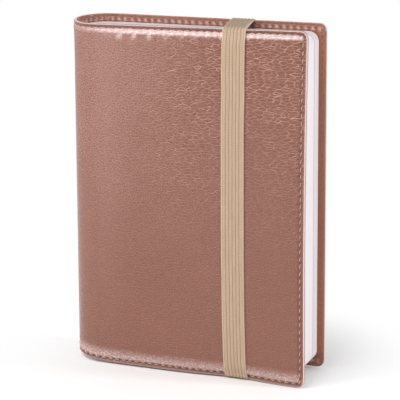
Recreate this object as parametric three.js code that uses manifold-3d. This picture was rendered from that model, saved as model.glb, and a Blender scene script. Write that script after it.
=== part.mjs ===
// Pocket diary: a padded leather cover with a round spine, a sewn page block and an elastic band that keeps it shut.
// It stands upright and closed. X runs from the spine to the fore edge, the front cover faces -Y, and Z is up.
import * as THREE from "three";
import { mergeVertices } from "three/addons/utils/BufferGeometryUtils.js";
import Module from "manifold-3d";

const wasm = await Module();
wasm.setup();

// Driving dimensions, in millimetres.
const PAGE_WIDTH = 100;
const PAGE_HEIGHT = 150;
const PAGE_CORNER = 4.5;
const FORE_OVERHANG = 3.2; // of the cover past the pages, at the fore edge
const HEAD_OVERHANG = 3.5; // the same at the top and the bottom
const RIM_DEPTH = 29.5; // over the two stitched rims, outer face to outer face
const SPINE_REACH = 13.7; // how far the round spine stands out behind the creases
const GUTTER_BEHIND = 3.4; // how far the pages' bound edge lies behind the creases
const FORE_CORNER = 3.4;
const CREASE_GAP = 0.3;

const LEATHER = 0.9;
const LINING = 0.7;
const BOARD = 1.0;
const RIM_SKIRT = 1.5; // leather and its turned-in edge at the rim, without the lining
const RIM_ROUND = 0.4;
const POCKET_INSET = 3.4; // from the cover's edge to the pocket that holds board and padding
const CROWN_START = 3.2;
const CROWN_SHOULDER = 7;
const CROWN_FLAT = 14;
const SHOULDER_SHARE = 0.8;
const FIT = 0.15; // between layers that are glued face to face
const CLEARANCE = 0.3; // between pieces that only rest on each other

const ENDPAPER = 0.3;
const ENDPAPER_INSET = 6;
const LEAF = 0.4;
const LEAF_NAMES = ["front_flyleaf", "first_leaf", "second_leaf", "third_leaf", "fourth_leaf", "fifth_leaf"];
const GUTTER_WIDTH = 6.4; // the bound strip that the turning leaves leave behind
const DIVIDER = 0.4;
const ADDRESS_SECTION = 5;
const MULL = 0.3;
const MULL_END = Math.PI / 7; // how far the cloth stays short of each crease, round the spine
const SPINE_CARD = 0.4;
const SPINE_LINING = 0.6;

const BAND_WIDTH = 10.6;
const BAND_THICKNESS = 0.9;
const BAND_TO_FORE = 32.1; // from the cover's fore edge to the band's middle
const BAND_SKEW = 6.5; // how far towards the spine the band has slipped where it crosses the back cover's top edge
const SLOT_INSET = 9.5; // from the cover's top or bottom edge to the slot that the band enters
const SLOT_HEIGHT = 4.6;
const BAND_TAIL = 14;
const BAND_BEND = 1.6;

const STITCH_INSET = 1.8;
const THREAD_WIDTH = 0.5;
const THREAD_HEIGHT = 0.35;

const CORNER_STEPS = 6;
const SPINE_STEPS = 28;
const BEND_STEPS = 4;

// Sizes and places that follow from them.
const COVER_WIDTH = SPINE_REACH - GUTTER_BEHIND + PAGE_WIDTH + FORE_OVERHANG;
const COVER_HEIGHT = PAGE_HEIGHT + 2 * HEAD_OVERHANG;
const HALF_WIDTH = COVER_WIDTH / 2;
const HALF_DEPTH = RIM_DEPTH / 2;
const CREASE_X = -HALF_WIDTH + SPINE_REACH;
const RIM = RIM_SKIRT + LINING;
const PADDING = BAND_THICKNESS + 2 * FIT;
const CROWN = LEATHER + PADDING + FIT + BOARD - RIM_SKIRT;
const FORE_X = HALF_WIDTH - FORE_OVERHANG;
const GUTTER_X = CREASE_X - GUTTER_BEHIND;
const PAGE_BOTTOM = HEAD_OVERHANG;
const PAGE_TOP = PAGE_BOTTOM + PAGE_HEIGHT;
const LEAF_PITCH = LEAF + CLEARANCE;
const STACK_FRONT = -HALF_DEPTH + RIM + ENDPAPER + CLEARANCE;
const BLOCK_FRONT = STACK_FRONT + LEAF_NAMES.length * LEAF_PITCH;
const STACK_BACK = HALF_DEPTH - RIM - ENDPAPER - CLEARANCE;
const ADDRESS_BACK = STACK_BACK - LEAF_PITCH;
const ADDRESS_FRONT = ADDRESS_BACK - ADDRESS_SECTION;
const BLOCK_BACK = ADDRESS_FRONT - DIVIDER;
const TURNING_X = GUTTER_X + GUTTER_WIDTH;
const SPINE_WALL = LEATHER + FIT + SPINE_CARD + FIT + SPINE_LINING;
const MULL_OUTSIDE = SPINE_WALL + CLEARANCE;
const BLOCK_EDGE = MULL_OUTSIDE + MULL + FIT;
const BAND_CENTRE = HALF_WIDTH - BAND_TO_FORE;
const NOTCH_DEPTH = BAND_THICKNESS + CLEARANCE;
const NOTCH_WIDTH = BAND_WIDTH + 2 * CLEARANCE;

const material = (color, roughness) => new THREE.MeshStandardMaterial({ color, roughness, metalness: 0 });
const leatherFinish = material(0xa06e5f, 0.42);
const liningFinish = material(0x8f5f4c, 0.6);
const foamFinish = material(0xe6e2d8, 0.95);
const boardFinish = material(0x8c8579, 0.9);
const paperFinish = material(0xf3efe9, 0.85);
const endpaperFinish = material(0xe9e2d6, 0.85);
const dividerFinish = material(0xb9bcc8, 0.7);
const clothFinish = material(0xd8d2c4, 0.95);
const threadFinish = material(0xb98f80, 0.5);
const bandFinish = material(0xc8af8c, 0.6);

// Points of an arc round (x, z), from one angle to another, both included.
function arc(x, z, radius, from, to) {
  const points = [];
  for (let i = 0; i <= CORNER_STEPS; i++) {
    const angle = from + ((to - from) * i) / CORNER_STEPS;
    points.push(new THREE.Vector2(x + radius * Math.cos(angle), z + radius * Math.sin(angle)));
  }
  return points;
}

// The three outer sides of a cover, drawn in by inset: along the bottom, up the fore edge and back along the top.
function coverSides(inset, left, radius) {
  const right = HALF_WIDTH - inset;
  const top = COVER_HEIGHT - inset;
  return [
    new THREE.Vector2(left, inset),
    ...arc(right - radius, inset + radius, radius, -Math.PI / 2, 0),
    ...arc(right - radius, top - radius, radius, 0, Math.PI / 2),
    new THREE.Vector2(left, top),
  ];
}

// A geometry whose rings are joined in turn, with a flat cap on the first and the last.
function loft(rings) {
  const count = rings[0].length;
  const positions = rings.flat().flatMap((point) => point.toArray());
  const indices = [];
  for (let ring = 0; ring + 1 < rings.length; ring++) {
    for (let i = 0; i < count; i++) {
      const a = ring * count + i;
      const b = ring * count + ((i + 1) % count);
      indices.push(a, b, b + count, a, b + count, a + count);
    }
  }
  const last = (rings.length - 1) * count;
  for (let i = 1; i + 1 < count; i++) {
    indices.push(0, i + 1, i);
    indices.push(last, last + i, last + i + 1);
  }
  const geometry = new THREE.BufferGeometry();
  geometry.setAttribute("position", new THREE.Float32BufferAttribute(positions, 3));
  geometry.setIndex(indices);
  return facingOut(geometry);
}

// The same geometry with every face turned round if it was inside out.
function facingOut(geometry) {
  const index = geometry.index.array;
  const corners = [new THREE.Vector3(), new THREE.Vector3(), new THREE.Vector3()];
  let volume = 0;
  for (let i = 0; i < index.length; i += 3) {
    corners.forEach((corner, k) => corner.fromBufferAttribute(geometry.getAttribute("position"), index[i + k]));
    volume += corners[0].dot(corners[1].clone().cross(corners[2]));
  }
  if (volume < 0) {
    for (let i = 0; i < index.length; i += 3) {
      [index[i + 1], index[i + 2]] = [index[i + 2], index[i + 1]];
    }
  }
  return geometry;
}

// One ring of a cover's layer: depth runs inward from the rim's outer face, and side is -1 in front and 1 behind.
function coverRing(side, depth, inset, creaseInset, radius = FORE_CORNER) {
  const y = side * (HALF_DEPTH - depth);
  const left = CREASE_X + CREASE_GAP / 2 + creaseInset;
  return coverSides(inset, left, radius).map((point) => new THREE.Vector3(point.x, y, point.y));
}

// A flat outline in X and Z, made solid between two places along Y.
function slab(outline, from, to) {
  const ring = (y) => outline.map((point) => new THREE.Vector3(point.x, y, point.y));
  return loft([ring(from), ring(to)]);
}

function solid(geometry) {
  const bare = geometry.clone();
  bare.deleteAttribute("normal");
  bare.deleteAttribute("uv");
  const merged = mergeVertices(bare, 1e-4);
  return new wasm.Manifold(
    new wasm.Mesh({
      numProp: 3,
      vertProperties: new Float32Array(merged.getAttribute("position").array),
      triVerts: new Uint32Array(merged.index.array),
    }),
  );
}

function geometryOf(made) {
  const mesh = made.getMesh();
  const geometry = new THREE.BufferGeometry();
  geometry.setAttribute("position", new THREE.BufferAttribute(mesh.vertProperties, 3));
  geometry.setIndex(new THREE.BufferAttribute(mesh.triVerts, 1));
  return geometry;
}

function cut(geometry, ...tools) {
  const made = tools.reduce((rest, tool) => rest.subtract(solid(tool)), solid(geometry));
  return geometryOf(made);
}

function box(x0, x1, y0, y1, z0, z1) {
  const geometry = new THREE.BoxGeometry(x1 - x0, y1 - y0, z1 - z0);
  return geometry.translate((x0 + x1) / 2, (y0 + y1) / 2, (z0 + z1) / 2);
}

// A box that leaves the band its clearance on both sides, round the band's middle at x.
function bandBox(x, y0, y1, z0, z1) {
  return box(x - NOTCH_WIDTH / 2, x + NOTCH_WIDTH / 2, y0, y1, z0, z1);
}

// How far the slanting upper part of the band has slipped towards the spine at a given Y.
function slip(y) {
  return BAND_SKEW * THREE.MathUtils.clamp((y + HALF_DEPTH) / RIM_DEPTH, 0, 1);
}

// The notches that the tight band presses into a cover's top and bottom edges.
function bandNotches(side) {
  const [near, far] = [side * HALF_DEPTH, side * (HALF_DEPTH - RIM)];
  const middle = BAND_CENTRE - (slip(near) + slip(far)) / 2;
  const lean = Math.abs(slip(near) - slip(far)) / 2;
  const upper = (x) => bandBox(x, -RIM_DEPTH, RIM_DEPTH, COVER_HEIGHT - NOTCH_DEPTH, COVER_HEIGHT + NOTCH_DEPTH);
  return [
    bandBox(BAND_CENTRE, -RIM_DEPTH, RIM_DEPTH, -NOTCH_DEPTH, NOTCH_DEPTH),
    upper(middle - lean),
    upper(middle + lean),
  ];
}

// Outer leather of a cover: a crowned skin with a flat stitched rim and a pocket on its inner side.
function coverLeather(side) {
  const edge = FORE_CORNER;
  const shoulder = -SHOULDER_SHARE * CROWN;
  const pocketFloor = RIM_SKIRT - BOARD;
  return loft([
    coverRing(side, -CROWN, CROWN_FLAT, CROWN_FLAT),
    coverRing(side, shoulder, CROWN_SHOULDER, CROWN_SHOULDER),
    coverRing(side, 0, CROWN_START, CROWN_START, edge / 2),
    coverRing(side, 0, RIM_ROUND, 0, edge - RIM_ROUND),
    coverRing(side, RIM_ROUND, 0, 0, edge),
    coverRing(side, RIM_SKIRT, 0, 0, edge),
    coverRing(side, RIM_SKIRT, POCKET_INSET, POCKET_INSET, edge / 2),
    coverRing(side, pocketFloor, POCKET_INSET, POCKET_INSET, edge / 2),
    coverRing(side, shoulder + LEATHER, CROWN_SHOULDER, CROWN_SHOULDER),
    coverRing(side, -CROWN + LEATHER, CROWN_FLAT, CROWN_FLAT),
  ]);
}

// Foam sheet, thinned towards its edges, between the board and the leather.
function coverPadding(side) {
  const pocketFloor = RIM_SKIRT - BOARD;
  const shoulder = -SHOULDER_SHARE * CROWN + LEATHER;
  const inset = (POCKET_INSET + CROWN_SHOULDER) / 2;
  const radius = FORE_CORNER * 0.75;
  return loft([
    coverRing(side, pocketFloor - FIT, inset, inset, radius),
    coverRing(side, (pocketFloor + shoulder) / 2 + FIT, inset, inset, radius),
    coverRing(side, shoulder + FIT, CROWN_SHOULDER + FIT, CROWN_SHOULDER + FIT),
    coverRing(side, -CROWN + LEATHER + FIT, CROWN_FLAT + FIT, CROWN_FLAT + FIT),
  ]);
}

function coverBoard(side) {
  const inset = POCKET_INSET + FIT;
  return loft([
    coverRing(side, RIM_SKIRT, inset, inset, FORE_CORNER / 2),
    coverRing(side, RIM_SKIRT - BOARD, inset, inset, FORE_CORNER / 2),
  ]);
}

function coverLining(side) {
  return loft([
    coverRing(side, RIM_SKIRT, 0, 0, FORE_CORNER),
    coverRing(side, RIM - RIM_ROUND / 2, 0, 0, FORE_CORNER),
    coverRing(side, RIM, RIM_ROUND / 2, 0, FORE_CORNER),
  ]);
}

function pastedown(side) {
  const radius = PAGE_CORNER / 2;
  return loft([
    coverRing(side, RIM, ENDPAPER_INSET, ENDPAPER_INSET, radius),
    coverRing(side, RIM + ENDPAPER, ENDPAPER_INSET, ENDPAPER_INSET, radius),
  ]);
}

// One run of sewing thread round a cover's three outer sides, lying on the rim's face at the given depth.
function rimThread(side, depth, height) {
  const left = CREASE_X + CREASE_GAP / 2 + STITCH_INSET;
  const outer = STITCH_INSET - THREAD_WIDTH / 2;
  const inner = STITCH_INSET + THREAD_WIDTH / 2;
  const outline = [
    ...coverSides(outer, left, FORE_CORNER - outer),
    ...coverSides(inner, left, FORE_CORNER - inner).reverse(),
  ];
  const shape = new THREE.Shape(outline);
  const geometry = new THREE.ExtrudeGeometry(shape, { depth: height, bevelEnabled: false });
  const near = side * (HALF_DEPTH - depth);
  // The drawing's depth runs to -Y once it is stood up, so it starts at the larger Y of the two faces.
  geometry.rotateX(Math.PI / 2);
  return geometry.translate(0, Math.max(near, near + side * height), 0);
}

// A half ellipse behind the creases, drawn in by inset from the spine's outer face and cut short at both ends.
function spineCurve(inset, endAngle) {
  const points = [];
  const from = Math.PI / 2 + endAngle;
  const sweep = Math.PI - 2 * endAngle;
  for (let i = 0; i <= SPINE_STEPS; i++) {
    const angle = from + (sweep * i) / SPINE_STEPS;
    const x = CREASE_X + (SPINE_REACH - inset) * Math.cos(angle);
    const y = (HALF_DEPTH - inset) * Math.sin(angle);
    points.push(new THREE.Vector2(Math.min(x, CREASE_X - CREASE_GAP / 2), y));
  }
  return points;
}

// A layer of the spine between two insets, standing from bottom to top.
function spineLayer(outside, inside, bottom, top, endAngle = 0) {
  const shape = new THREE.Shape([...spineCurve(outside, endAngle), ...spineCurve(inside, endAngle).reverse()]);
  const geometry = new THREE.ExtrudeGeometry(shape, { depth: top - bottom, bevelEnabled: false });
  return geometry.translate(0, 0, bottom);
}

// Where the block's rounded back lies at a given Y.
function blockBack(y) {
  const reach = SPINE_REACH - BLOCK_EDGE;
  const half = HALF_DEPTH - BLOCK_EDGE;
  return CREASE_X - reach * Math.sqrt(Math.max(0, 1 - (y / half) ** 2));
}

// A stack of bound leaves between two places along Y, with a rounded back, trimmed to the page's outline.
function boundStack(front, back, gutterFront) {
  const section = [new THREE.Vector2(HALF_WIDTH, front), new THREE.Vector2(HALF_WIDTH, back)];
  const first = gutterFront ?? front;
  const steps = Math.ceil((SPINE_STEPS * (back - first)) / RIM_DEPTH);
  for (let i = 0; i <= steps; i++) {
    const y = back + ((first - back) * i) / steps;
    section.push(new THREE.Vector2(blockBack(y), y));
  }
  if (gutterFront !== undefined) {
    const stepX = TURNING_X - CLEARANCE;
    section.push(new THREE.Vector2(stepX, gutterFront), new THREE.Vector2(stepX, front));
  }
  const geometry = new THREE.ExtrudeGeometry(new THREE.Shape(section), { depth: COVER_HEIGHT, bevelEnabled: false });
  const trim = slab(pageOutline(-HALF_WIDTH), -HALF_DEPTH, HALF_DEPTH);
  return geometryOf(solid(geometry).intersect(solid(trim)));
}

// A page's outline in X and Z, with its two fore-edge corners rounded.
function pageOutline(left) {
  return [
    new THREE.Vector2(left, PAGE_BOTTOM),
    ...arc(FORE_X - PAGE_CORNER, PAGE_BOTTOM + PAGE_CORNER, PAGE_CORNER, -Math.PI / 2, 0),
    ...arc(FORE_X - PAGE_CORNER, PAGE_TOP - PAGE_CORNER, PAGE_CORNER, 0, Math.PI / 2),
    new THREE.Vector2(left, PAGE_TOP),
  ];
}

// The band's middle line in Y and Z, from its tail inside the back cover, over the top, and down to half height.
function bandHalf() {
  const half = BAND_THICKNESS / 2;
  const onCrown = HALF_DEPTH + CROWN + CLEARANCE + half;
  const onRim = HALF_DEPTH + THREAD_HEIGHT + CLEARANCE + half;
  const tail = HALF_DEPTH + CROWN - LEATHER - 2 * FIT - half;
  const slot = COVER_HEIGHT - SLOT_INSET;
  const rise = SLOT_HEIGHT * 0.43;
  const over = COVER_HEIGHT - half;
  return [
    new THREE.Vector2(tail, slot - rise - BAND_TAIL),
    new THREE.Vector2(tail, slot - rise),
    new THREE.Vector2(onCrown, slot + rise),
    new THREE.Vector2(onCrown, COVER_HEIGHT - CROWN_SHOULDER + BAND_BEND),
    new THREE.Vector2(onRim, COVER_HEIGHT - CROWN_START / 2),
    new THREE.Vector2(onRim, over),
    new THREE.Vector2(-onRim, over),
    new THREE.Vector2(-onRim, COVER_HEIGHT - CROWN_START / 2),
    new THREE.Vector2(-onCrown, COVER_HEIGHT - CROWN_SHOULDER),
  ];
}

// The path with each corner rounded by a short curve.
function eased(path) {
  const points = [path[0]];
  for (let i = 1; i + 1 < path.length; i++) {
    const corner = path[i];
    const before = path[i - 1].clone().sub(corner);
    const after = path[i + 1].clone().sub(corner);
    const reach = Math.min(BAND_BEND, before.length() * 0.45, after.length() * 0.45);
    const start = corner.clone().add(before.setLength(reach));
    const end = corner.clone().add(after.setLength(reach));
    points.push(...new THREE.QuadraticBezierCurve(start, corner, end).getPoints(BEND_STEPS));
  }
  points.push(path.at(-1));
  return points;
}

// The path moved sideways, square to itself.
function offset(path, distance) {
  return path.map((point, i) => {
    const before = path[Math.max(i - 1, 0)];
    const after = path[Math.min(i + 1, path.length - 1)];
    const along = after.clone().sub(before).normalize();
    return new THREE.Vector2(point.x - along.y * distance, point.y + along.x * distance);
  });
}

function elasticBand() {
  const upper = bandHalf();
  const lower = upper.map((point) => new THREE.Vector2(point.x, COVER_HEIGHT - point.y)).reverse();
  const path = eased([...upper, ...lower]);
  const half = BAND_THICKNESS / 2;
  const shape = new THREE.Shape([...offset(path, half), ...offset(path, -half).reverse()]);
  const geometry = new THREE.ExtrudeGeometry(shape, { depth: BAND_WIDTH, bevelEnabled: false });
  const [x, y, z] = [new THREE.Vector3(1, 0, 0), new THREE.Vector3(0, 1, 0), new THREE.Vector3(0, 0, 1)];
  geometry.applyMatrix4(new THREE.Matrix4().makeBasis(y, z, x));
  geometry.translate(BAND_CENTRE - BAND_WIDTH / 2, 0, 0);
  const place = geometry.getAttribute("position");
  for (let i = 0; i < place.count; i++) {
    if (place.getZ(i) > COVER_HEIGHT / 2) {
      place.setX(i, place.getX(i) - slip(place.getY(i)));
    }
  }
  return geometry;
}

// The two slots in the back cover's leather, and the pockets under it that hold the band's tails.
function bandSlots(depthFrom, depthTo, tail) {
  const [near, far] = [HALF_DEPTH - depthTo, HALF_DEPTH - depthFrom];
  const upper = COVER_HEIGHT - SLOT_INSET;
  const half = SLOT_HEIGHT / 2;
  return [
    bandBox(BAND_CENTRE - BAND_SKEW, near, far, upper - half - tail, upper + half),
    bandBox(BAND_CENTRE, near, far, SLOT_INSET - half, SLOT_INSET + half + tail),
  ];
}

const diary = new THREE.Group();
const frontCover = new THREE.Group();
const backCover = new THREE.Group();
const book = new THREE.Group();
diary.add(book, frontCover, backCover);

function add(group, name, geometry, finish) {
  const mesh = new THREE.Mesh(geometry, finish);
  mesh.name = name;
  group.add(mesh);
}

const tailRoom = BAND_TAIL + CLEARANCE;
const leatherSlots = bandSlots(-CROWN - CLEARANCE, RIM_SKIRT - BOARD, 0);
const paddingPockets = bandSlots(-CROWN, RIM_SKIRT - BOARD, tailRoom);

add(frontCover, "front_leather", cut(coverLeather(-1), ...bandNotches(-1)), leatherFinish);
add(frontCover, "front_padding", coverPadding(-1), foamFinish);
add(frontCover, "front_board", coverBoard(-1), boardFinish);
add(frontCover, "front_lining", cut(coverLining(-1), ...bandNotches(-1)), liningFinish);
add(frontCover, "front_pastedown", pastedown(-1), endpaperFinish);
add(frontCover, "front_needle_thread", rimThread(-1, 0, THREAD_HEIGHT), threadFinish);
add(frontCover, "front_bobbin_thread", rimThread(-1, RIM + ENDPAPER, ENDPAPER), threadFinish);

add(backCover, "back_leather", cut(coverLeather(1), ...bandNotches(1), ...leatherSlots), leatherFinish);
add(backCover, "back_padding", cut(coverPadding(1), ...paddingPockets), foamFinish);
add(backCover, "back_board", coverBoard(1), boardFinish);
add(backCover, "back_lining", cut(coverLining(1), ...bandNotches(1)), liningFinish);
add(backCover, "back_pastedown", pastedown(1), endpaperFinish);
add(backCover, "back_needle_thread", rimThread(1, 0, THREAD_HEIGHT), threadFinish);
add(backCover, "back_bobbin_thread", rimThread(1, RIM + ENDPAPER, ENDPAPER), threadFinish);
add(backCover, "elastic_band", elasticBand(), bandFinish);

const cardOutside = LEATHER + FIT;
const liningOutside = cardOutside + SPINE_CARD + FIT;
add(book, "spine_leather", spineLayer(0, LEATHER, 0, COVER_HEIGHT), leatherFinish);
add(book, "spine_card", spineLayer(cardOutside, cardOutside + SPINE_CARD, PAGE_BOTTOM, PAGE_TOP), boardFinish);
add(book, "spine_lining", spineLayer(liningOutside, SPINE_WALL, 0, COVER_HEIGHT), liningFinish);
const mull = spineLayer(MULL_OUTSIDE, MULL_OUTSIDE + MULL, PAGE_BOTTOM, PAGE_TOP, MULL_END);
add(book, "spine_mull", mull, clothFinish);
add(book, "page_block", boundStack(BLOCK_FRONT, BLOCK_BACK, STACK_FRONT), paperFinish);
add(book, "divider_card", boundStack(BLOCK_BACK, ADDRESS_FRONT), dividerFinish);
add(book, "address_section", boundStack(ADDRESS_FRONT, ADDRESS_BACK), paperFinish);

const leafOutline = pageOutline(TURNING_X);
LEAF_NAMES.forEach((name, i) => {
  const front = STACK_FRONT + i * LEAF_PITCH;
  add(book, name, slab(leafOutline, front, front + LEAF), paperFinish);
});
add(book, "back_flyleaf", slab(leafOutline, STACK_BACK - LEAF, STACK_BACK), endpaperFinish);

export default diary;
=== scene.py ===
"""Pocket diary: padded rose brown leather, stitched round its rim, kept shut by a ribbed elastic band."""

import math

import bpy
import numpy as np
from mathutils import Matrix, Vector


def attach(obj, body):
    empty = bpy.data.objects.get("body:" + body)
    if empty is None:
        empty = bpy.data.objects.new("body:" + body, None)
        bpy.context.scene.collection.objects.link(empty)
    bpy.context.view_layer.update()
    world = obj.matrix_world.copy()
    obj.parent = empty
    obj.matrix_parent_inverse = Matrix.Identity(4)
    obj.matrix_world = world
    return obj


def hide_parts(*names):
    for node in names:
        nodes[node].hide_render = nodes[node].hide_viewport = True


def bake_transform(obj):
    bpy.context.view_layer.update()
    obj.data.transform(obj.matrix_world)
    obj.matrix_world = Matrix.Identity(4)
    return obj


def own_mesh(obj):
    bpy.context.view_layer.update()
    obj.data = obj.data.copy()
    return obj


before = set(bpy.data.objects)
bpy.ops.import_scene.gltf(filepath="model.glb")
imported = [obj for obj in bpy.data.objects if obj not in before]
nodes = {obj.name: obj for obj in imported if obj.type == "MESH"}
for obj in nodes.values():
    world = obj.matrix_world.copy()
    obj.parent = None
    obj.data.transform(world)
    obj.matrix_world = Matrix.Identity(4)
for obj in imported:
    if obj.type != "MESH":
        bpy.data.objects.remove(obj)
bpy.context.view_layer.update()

# Studio: a pale floor that keeps the shadow and is white away from it, a white surround, soft lamps and the
# photograph's viewpoint. The diary stands on the band, which reaches just under the covers' bottom edges.
MM = 0.001
PHOTO_SIDE = 400
FLOOR_Z = -0.9 * MM
FLOOR_REACH = 6.0
SHADOW_KEPT = 0.035
PLAIN_FROM = 0.11


def dye(red, green, blue):
    """A colour given from 0 to 255, as the light that it sends back."""
    shares = [channel / 255 for channel in (red, green, blue)]
    return tuple(s / 12.92 if s <= 0.04045 else ((s + 0.055) / 1.055) ** 2.4 for s in shares)


class Value:
    """A socket of a node tree that takes part in sums: each sum adds its Math node."""

    def __init__(self, tree, socket):
        self.tree = tree
        self.socket = socket

    def output(self, name):
        return Value(self.tree, self.socket.node.outputs[name])

    def __add__(self, other):
        return self.tree.math("ADD", self, other)

    def __sub__(self, other):
        return self.tree.math("SUBTRACT", self, other)

    def __rsub__(self, other):
        return self.tree.math("SUBTRACT", other, self)

    def __mul__(self, other):
        return self.tree.math("MULTIPLY", self, other)

    def __pow__(self, other):
        return self.tree.math("POWER", self, other)

    def __abs__(self):
        return self.tree.math("ABSOLUTE", self)

    __radd__, __rmul__ = __add__, __mul__


class NodeTree:
    """The node tree of a material or of the world."""

    def __init__(self, owner):
        owner.use_nodes = True
        self.nodes = owner.node_tree.nodes
        self.links = owner.node_tree.links

    def feed(self, socket, value):
        if isinstance(value, Value):
            self.links.new(value.socket, socket)
        elif socket.type == "RGBA" and len(value) == 3:
            socket.default_value = (*value, 1.0)
        else:
            socket.default_value = value

    def add(self, kind, settings=None, sockets=None):
        """A new node: its settings are set first, then its sockets. Gives its first output in use."""
        made = self.nodes.new(kind)
        for setting, choice in (settings or {}).items():
            setattr(made, setting, choice)
        for key, value in (sockets or {}).items():
            if isinstance(key, int):
                self.feed(made.inputs[key], value)
            else:
                self.feed(next(s for s in made.inputs if s.enabled and s.name == key), value)
        return Value(self, next(s for s in made.outputs if s.enabled))

    def mix(self, share, first, second):
        """A share of the second colour laid over the first."""
        sockets = {"Factor": share, "A": first, "B": second}
        return self.add("ShaderNodeMix", {"data_type": "RGBA"}, sockets)

    def smooth(self, value, low, high):
        """0 below low, 1 above high, and an even curve between them."""
        settings = {"interpolation_type": "SMOOTHSTEP"}
        return self.add("ShaderNodeMapRange", settings, {"Value": value, "From Min": low, "From Max": high})

    def noise(self, place, scale, detail=2.0, roughness=0.5):
        settings = {"noise_dimensions": "3D"}
        sockets = {"Vector": place, "Scale": scale, "Detail": detail, "Roughness": roughness}
        return self.add("ShaderNodeTexNoise", settings, sockets)

    def math(self, operation, *values):
        return self.add("ShaderNodeMath", {"operation": operation}, dict(enumerate(values)))

    def vector(self, operation, *values):
        return self.add("ShaderNodeVectorMath", {"operation": operation}, dict(enumerate(values)))

    def axes(self, place):
        """The three coordinates of a place."""
        parts = self.add("ShaderNodeSeparateXYZ", None, {"Vector": place})
        return [parts.output(name) for name in "XYZ"]

    def waves(self, turns):
        """Even waves between 0 and 1 along an angle."""
        return self.math("SINE", turns) * 0.5 + 0.5


class Finish(NodeTree):
    """A material round one Principled shader, whose plain values are set on its own sockets."""

    def __init__(self, name, **values):
        self.material = bpy.data.materials.new(name)
        super().__init__(self.material)
        self.shader = self.nodes["Principled BSDF"]
        for key, value in values.items():
            self.feed(self.shader.inputs[key.replace("_", " ")], value)

    def kept_place(self, name="unrolled"):
        """The place that the mesh keeps of each point under this name."""
        return self.add("ShaderNodeAttribute", {"attribute_name": name}).output("Vector")

    def solid_place(self):
        return self.add("ShaderNodeTexCoord").output("Object")

    def beyond(self, value, low, high):
        """The same even curve as smooth, between two lengths in millimetres."""
        return self.smooth(value, low * MM, high * MM)

    def wear(self, key, value):
        self.feed(self.shader.inputs[key], value)

    def bump(self, height, reach):
        """Raises the surface by reach where height is 1."""
        sockets = {"Height": height, "Distance": reach, "Strength": 1.0}
        self.wear("Normal", self.add("ShaderNodeBump", None, sockets))


def add_object(name, data):
    made = bpy.data.objects.new(name, data)
    bpy.context.scene.collection.objects.link(made)
    return made


floor_mesh = bpy.data.meshes.new("studio_floor")
floor_corners = [(-1, -1), (1, -1), (1, 1), (-1, 1)]
floor_points = [(x * FLOOR_REACH, y * FLOOR_REACH, FLOOR_Z) for x, y in floor_corners]
floor_mesh.from_pydata(floor_points, [], [(0, 1, 2, 3)])
floor = add_object("studio_floor", floor_mesh)

FLOOR_DULL, FLOOR_CLEAN, WHITE = ((grey, grey, grey) for grey in (0.95, 0.97, 1.0))
floor_finish = Finish("floor_paper", Roughness=0.9)
floor_place = floor_finish.solid_place()
from_diary = floor_finish.vector("LENGTH", floor_place).output("Value")
paper_shade = floor_finish.noise(floor_place, 3.0)
floor_finish.wear("Base Color", floor_finish.mix(paper_shade, FLOOR_DULL, FLOOR_CLEAN))
seen_white = floor_finish.add("ShaderNodeLightPath").output("Is Camera Ray")
plain_white = floor_finish.add("ShaderNodeEmission", None, {"Color": WHITE, "Strength": 1.0})
away = floor_finish.smooth(from_diary, SHADOW_KEPT, PLAIN_FROM) * seen_white
floor_shader = Value(floor_finish, floor_finish.shader.outputs[0])
turned_white = floor_finish.add("ShaderNodeMixShader", None, {0: away, 1: floor_shader, 2: plain_white})
floor_finish.feed(floor_finish.nodes["Material Output"].inputs["Surface"], turned_white)
floor_mesh.materials.append(floor_finish.material)

world = bpy.data.worlds.new("studio_world")
bpy.context.scene.world = world
surround = NodeTree(world)
ray = surround.add("ShaderNodeLightPath")
AMBIENT = 0.53
GLOSS_SURROUND = 0.42
plain = ray.output("Is Camera Ray")
mirrored = ray.output("Is Glossy Ray")
strength = AMBIENT + (1.0 - AMBIENT) * plain + (GLOSS_SURROUND - AMBIENT) * mirrored
surround.feed(surround.nodes["Background"].inputs["Color"], WHITE)
surround.feed(surround.nodes["Background"].inputs["Strength"], strength)


def softbox(name, place, target, width, height, watts):
    lamp = bpy.data.lights.new(name, "AREA")
    lamp.shape = "RECTANGLE"
    lamp.size, lamp.size_y = width, height
    lamp.energy = watts
    made = add_object(name, lamp)
    made.location = place
    made.rotation_euler = (Vector(target) - Vector(place)).to_track_quat("-Z", "Y").to_euler()


softbox("left_softbox", (-0.34, -0.45, 0.36), target=(-0.03, 0.0, 0.12), width=0.12, height=0.16, watts=0.9)
softbox("upper_softbox", (-0.24, -0.6, 0.98), target=(0.0, 0.0, 0.12), width=0.7, height=0.07, watts=6.0)
softbox("right_softbox", (0.95, 0.1, 0.3), target=(0.05, 0.0, 0.08), width=0.15, height=0.5, watts=4.4)

CAMERA_PLACE = (0.29033, -0.71083, 0.26971)
CAMERA_YAW, CAMERA_PITCH, CAMERA_ROLL = (math.radians(angle) for angle in (22.076, 14.123, -0.577))
FOCAL_PIXELS = 1763.8
camera_data = bpy.data.cameras.new("photo_camera")
camera_data.sensor_width = 36.0
camera_data.lens = FOCAL_PIXELS * camera_data.sensor_width / PHOTO_SIDE
camera = add_object("photo_camera", camera_data)
to_right = Vector((math.cos(CAMERA_YAW), math.sin(CAMERA_YAW), 0.0))
level = math.cos(CAMERA_PITCH)
backward = Vector((math.sin(CAMERA_YAW) * level, -math.cos(CAMERA_YAW) * level, math.sin(CAMERA_PITCH)))
upward = backward.cross(to_right)
turn = Matrix((to_right, upward, backward)).transposed() @ Matrix.Rotation(CAMERA_ROLL, 3, "Z")
camera.matrix_world = Matrix.Translation(CAMERA_PLACE) @ turn.to_4x4()
bpy.context.scene.camera = camera
bpy.context.scene.view_settings.view_transform = "Standard"

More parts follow.
